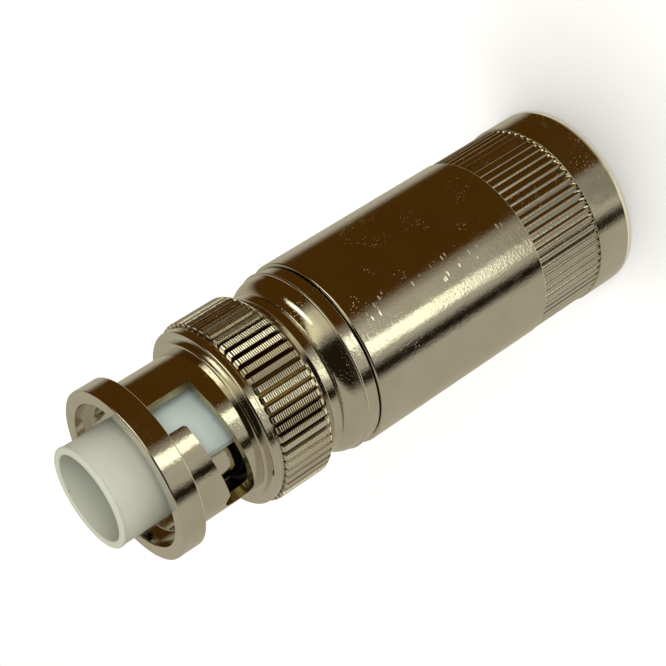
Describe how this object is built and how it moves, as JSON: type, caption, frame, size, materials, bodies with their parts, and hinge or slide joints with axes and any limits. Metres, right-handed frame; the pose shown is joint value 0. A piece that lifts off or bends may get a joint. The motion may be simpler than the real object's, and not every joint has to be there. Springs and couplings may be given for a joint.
{
  "type": "high-voltage bayonet plug connector",
  "caption": "Cable-end bayonet plug: knurled coupling sleeve with cam windows, white protruding insulator, long screwed rear barrel.",
  "frame": {"origin": "centre of the rear (cable entry) face", "axes": "+Z along the axis toward the mouth; the first cam window's side faces -Y"},
  "size_m": [0.015, 0.015, 0.0456],
  "materials": {
    "nickel_plate": "bright nickel plate on turned brass, fine turning lines and light scratches",
    "spring_steel": "plain spring steel",
    "black_rubber": "matte black rubber",
    "white_insulator": "smooth off-white fluoropolymer",
    "gold_contact": "gold plated"
  },
  "bodies": {
    "plug_body": {"connector_body": "nickel_plate", "outer_contact": "nickel_plate", "mating_gasket": "black_rubber", "front_insulator": "white_insulator", "rear_insulator": "white_insulator", "centre_contact": "gold_contact", "braid_clamp": "nickel_plate", "clamp_gasket": "black_rubber", "clamp_washer": "nickel_plate", "wave_washer_front": "spring_steel", "wave_washer_rear": "spring_steel"},
    "washer": {"slip_washer": "nickel_plate"},
    "sleeve": {"coupling_sleeve": "nickel_plate", "retaining_ring": "spring_steel"},
    "pusher": {"pressure_sleeve": "nickel_plate"},
    "barrel": {"rear_barrel": "nickel_plate"}
  },
  "joints": [
    {"name": "sleeve_slide", "type": "slide", "parent": "plug_body", "child": "washer", "axis": [0, 0, 1], "range_m": [0, 0.0008], "stiffness_N_per_m": 3000, "springref_m": -0.001, "deforming": ["wave_washer_front", "wave_washer_rear"]},
    {"name": "sleeve_turn", "type": "hinge", "parent": "washer", "child": "sleeve", "pos_m": [0, 0, 0.0305], "axis": [0, 0, 1], "continuous": true},
    {"name": "barrel_travel", "type": "slide", "parent": "plug_body", "child": "pusher", "axis": [0, 0, -1], "range_m": [0, 0.006]},
    {"name": "barrel_turn", "type": "hinge", "parent": "pusher", "child": "barrel", "pos_m": [0, 0, 0.01], "axis": [0, 0, -1], "range_deg": [0, 2160]}
  ],
  "couplings": [
    {"joint": "barrel_travel", "follows": "barrel_turn", "m_per_rad": 0.00015915}
  ]
}
